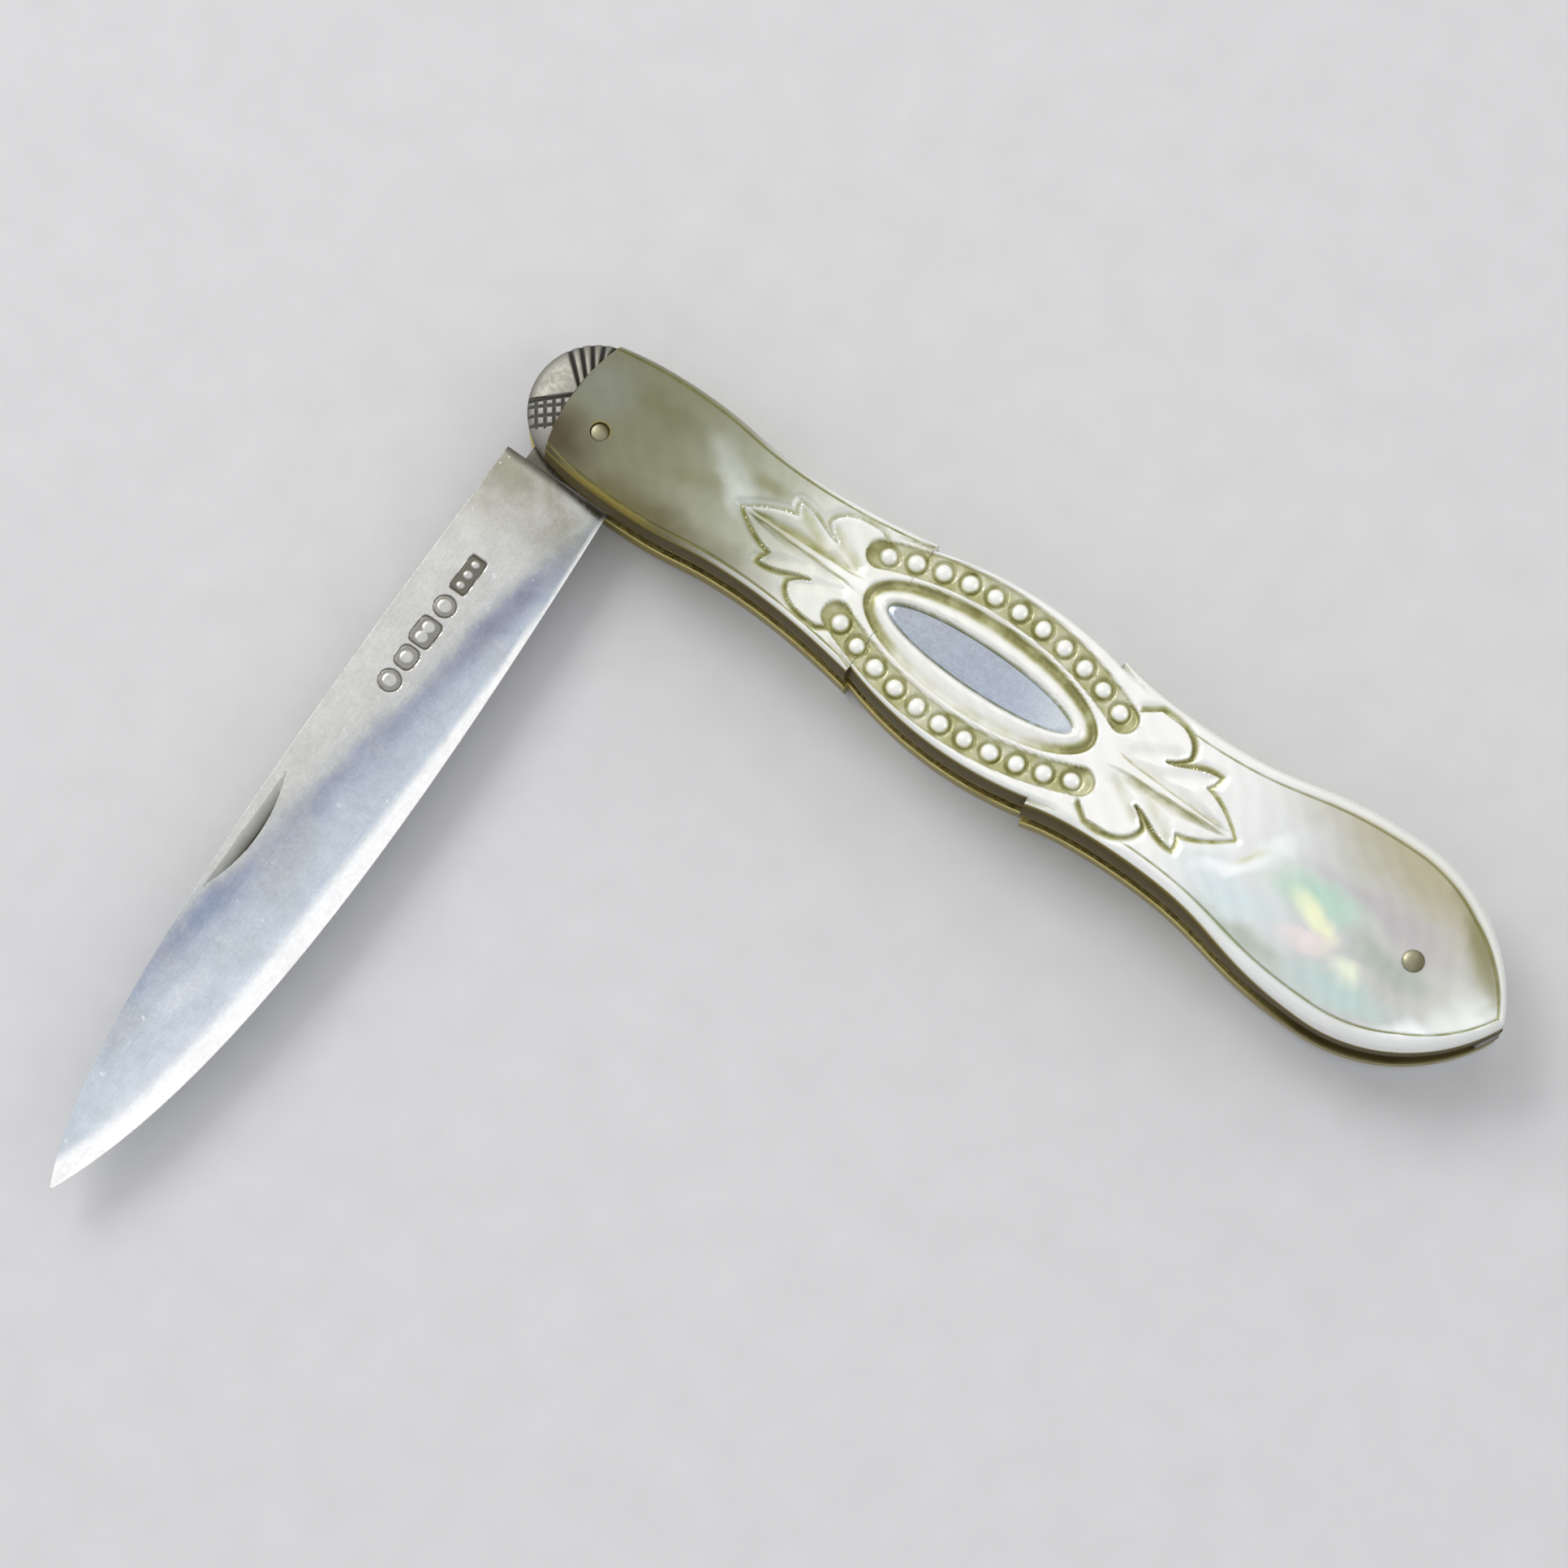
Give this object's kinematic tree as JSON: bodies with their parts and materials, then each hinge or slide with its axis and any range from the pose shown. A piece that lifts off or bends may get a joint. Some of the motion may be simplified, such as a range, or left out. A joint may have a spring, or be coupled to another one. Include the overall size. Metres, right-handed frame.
{
  "type": "folding fruit knife",
  "caption": "Folding fruit knife: a silver blade pivots into a slim handle of carved mother-of-pearl scales with bead rows, leaf carving, domed bolsters and a plain oval plate.",
  "frame": {"origin": "on the flat rear face of the rear scale, on the handle's centre line, level with the blade's pivot", "axes": "+X along the handle from the pivot to the tail, +Y to the back of the handle, where the spring is, +Z out of the front scale"},
  "size_m": [0.0865, 0.0787, 0.0077],
  "materials": {
    "blade_silver": "polished, with fine wear scratches",
    "fitting_silver": "polished, lightly tarnished",
    "pearl": "polished",
    "liner_gilt": "satin",
    "spring_steel": "satin"
  },
  "bodies": {
    "handle": {"rear_scale": "pearl", "rear_bolster": "fitting_silver", "rear_liner": "liner_gilt", "backspring": "spring_steel", "front_liner": "liner_gilt", "front_scale": "pearl", "front_bolster": "fitting_silver", "escutcheon": "fitting_silver", "pivot_pin": "fitting_silver", "centre_pin": "spring_steel", "end_pin": "fitting_silver"},
    "blade": {"blade": "blade_silver"}
  },
  "joints": [
    {"name": "blade_pivot", "type": "hinge", "parent": "handle", "child": "blade", "pos_m": [0, -0.0015, 0.0037], "axis": [0, 0, 1], "range_deg": [-90, 87]}
  ]
}
